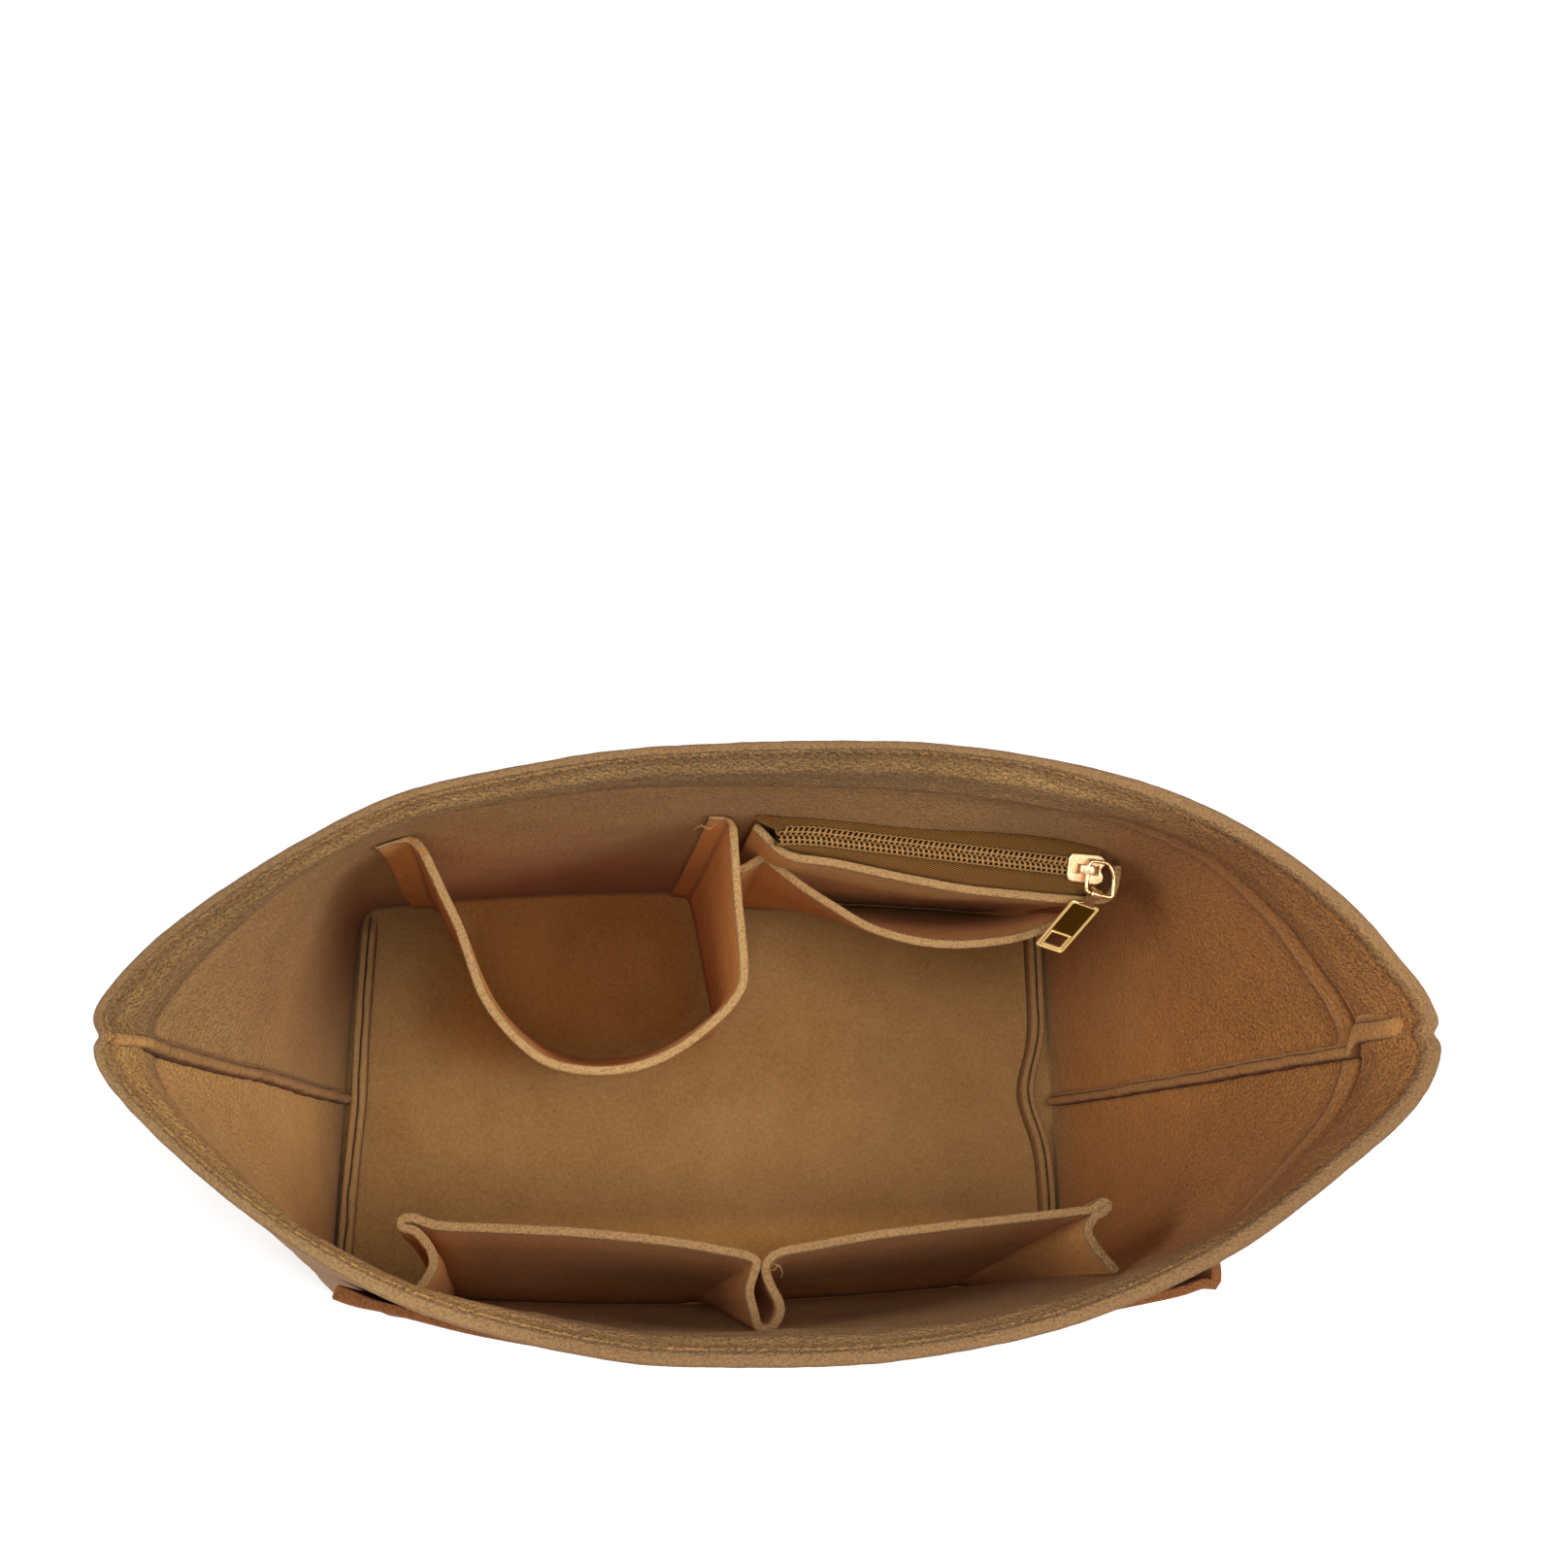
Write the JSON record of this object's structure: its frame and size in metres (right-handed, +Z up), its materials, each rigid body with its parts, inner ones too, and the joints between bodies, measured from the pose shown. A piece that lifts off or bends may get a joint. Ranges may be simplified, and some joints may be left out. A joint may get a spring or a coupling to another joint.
{
  "type": "handbag organizer insert",
  "caption": "Felt organizer insert for a large handbag: an open boat-shaped tub on a flat base, lined with a round bottle pocket, a zip pocket, slip pockets and an outside pocket.",
  "frame": {"origin": "on the floor, under the middle of the flat base", "axes": "+X to the right along the length, +Y towards the back wall with the zip pocket, +Z up out of the mouth"},
  "size_m": [0.389, 0.1813, 0.25],
  "materials": {
    "felt": "matte, short fuzz",
    "felt_outside": "matte, short fuzz",
    "zipper_tape": "woven herringbone",
    "nylon_coil": "satin nylon",
    "gold_hardware": "polished gold plating"
  },
  "bodies": {
    "insert": {"back_panel": "felt", "front_panel": "felt", "base_panel": "felt", "side_seam_left": "felt", "side_seam_right": "felt", "base_seam_left": "felt", "base_seam_right": "felt", "bottle_pocket": "felt", "zip_pocket_front": "felt", "zip_gusset_left": "felt", "zip_gusset_right": "felt", "zipper_coil_back": "nylon_coil", "zipper_coil_front": "nylon_coil", "zipper_tape_back": "zipper_tape", "zipper_tape_front": "zipper_tape", "slip_pocket_front": "felt", "slip_pocket_flange": "felt", "front_pocket_left": "felt", "front_pocket_right": "felt", "front_gusset_left": "felt", "front_gusset_right": "felt", "front_gusset_middle_left": "felt", "front_gusset_middle_right": "felt", "outer_pocket": "felt_outside", "outer_gusset_right": "felt_outside"},
    "slider": {"slider_body": "gold_hardware"},
    "link": {"pull_link": "gold_hardware"},
    "tab": {"pull_tab": "gold_hardware"}
  },
  "joints": [
    {"name": "slider_slide", "type": "slide", "parent": "insert", "child": "slider", "axis": [0.9937, -0.112, 0], "range_m": [-0.084, 0]},
    {"name": "link_hinge", "type": "hinge", "parent": "slider", "child": "link", "pos_m": [0.11324, 0.06307, 0.16633], "axis": [-0.1259, -0.952, -0.279], "range_deg": [-2, 110]},
    {"name": "tab_hinge", "type": "hinge", "parent": "link", "child": "tab", "pos_m": [0.11587, 0.05511, 0.16364], "axis": [-0.9368, 0.2491, 0.2456], "range_deg": [0, 95]}
  ]
}
